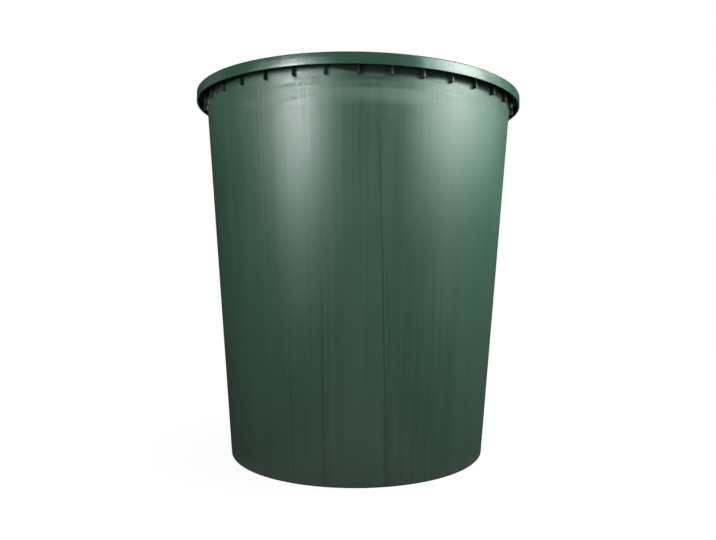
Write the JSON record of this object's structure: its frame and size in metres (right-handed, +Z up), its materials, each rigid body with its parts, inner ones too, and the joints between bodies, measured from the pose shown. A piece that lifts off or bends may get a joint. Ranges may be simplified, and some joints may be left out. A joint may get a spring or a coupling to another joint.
{
  "type": "rainwater tank",
  "caption": "Round tapered rain barrel in dark green moulded plastic, with a ribbed rim and a lift-off lid that rises to a shallow cone.",
  "frame": {"origin": "on the ground, at the middle of the base", "axes": "+Z up along the barrel's axis, -Y towards the viewer of the picture, +X to the viewer's right"},
  "size_m": [0.7999, 0.8, 0.9],
  "materials": {
    "barrel_plastic": "satin",
    "lid_plastic": "semi-gloss"
  },
  "bodies": {
    "barrel": {"wall_01": "barrel_plastic", "wall_02": "barrel_plastic", "wall_03": "barrel_plastic", "wall_04": "barrel_plastic", "wall_05": "barrel_plastic", "wall_06": "barrel_plastic", "wall_07": "barrel_plastic", "wall_08": "barrel_plastic", "wall_09": "barrel_plastic", "wall_10": "barrel_plastic", "wall_11": "barrel_plastic", "wall_12": "barrel_plastic", "base": "barrel_plastic", "rim": "barrel_plastic", "rim_ribs_front": "barrel_plastic", "rim_ribs_right": "barrel_plastic", "rim_ribs_back": "barrel_plastic", "rim_ribs_left": "barrel_plastic"},
    "lid": {"lid_panel": "lid_plastic", "lid_skirt": "lid_plastic", "lid_ring": "lid_plastic"}
  },
  "joints": [
    {"name": "lid_lift", "type": "slide", "parent": "barrel", "child": "lid", "axis": [0, 0, 1], "range_m": [0, 0.3]}
  ]
}
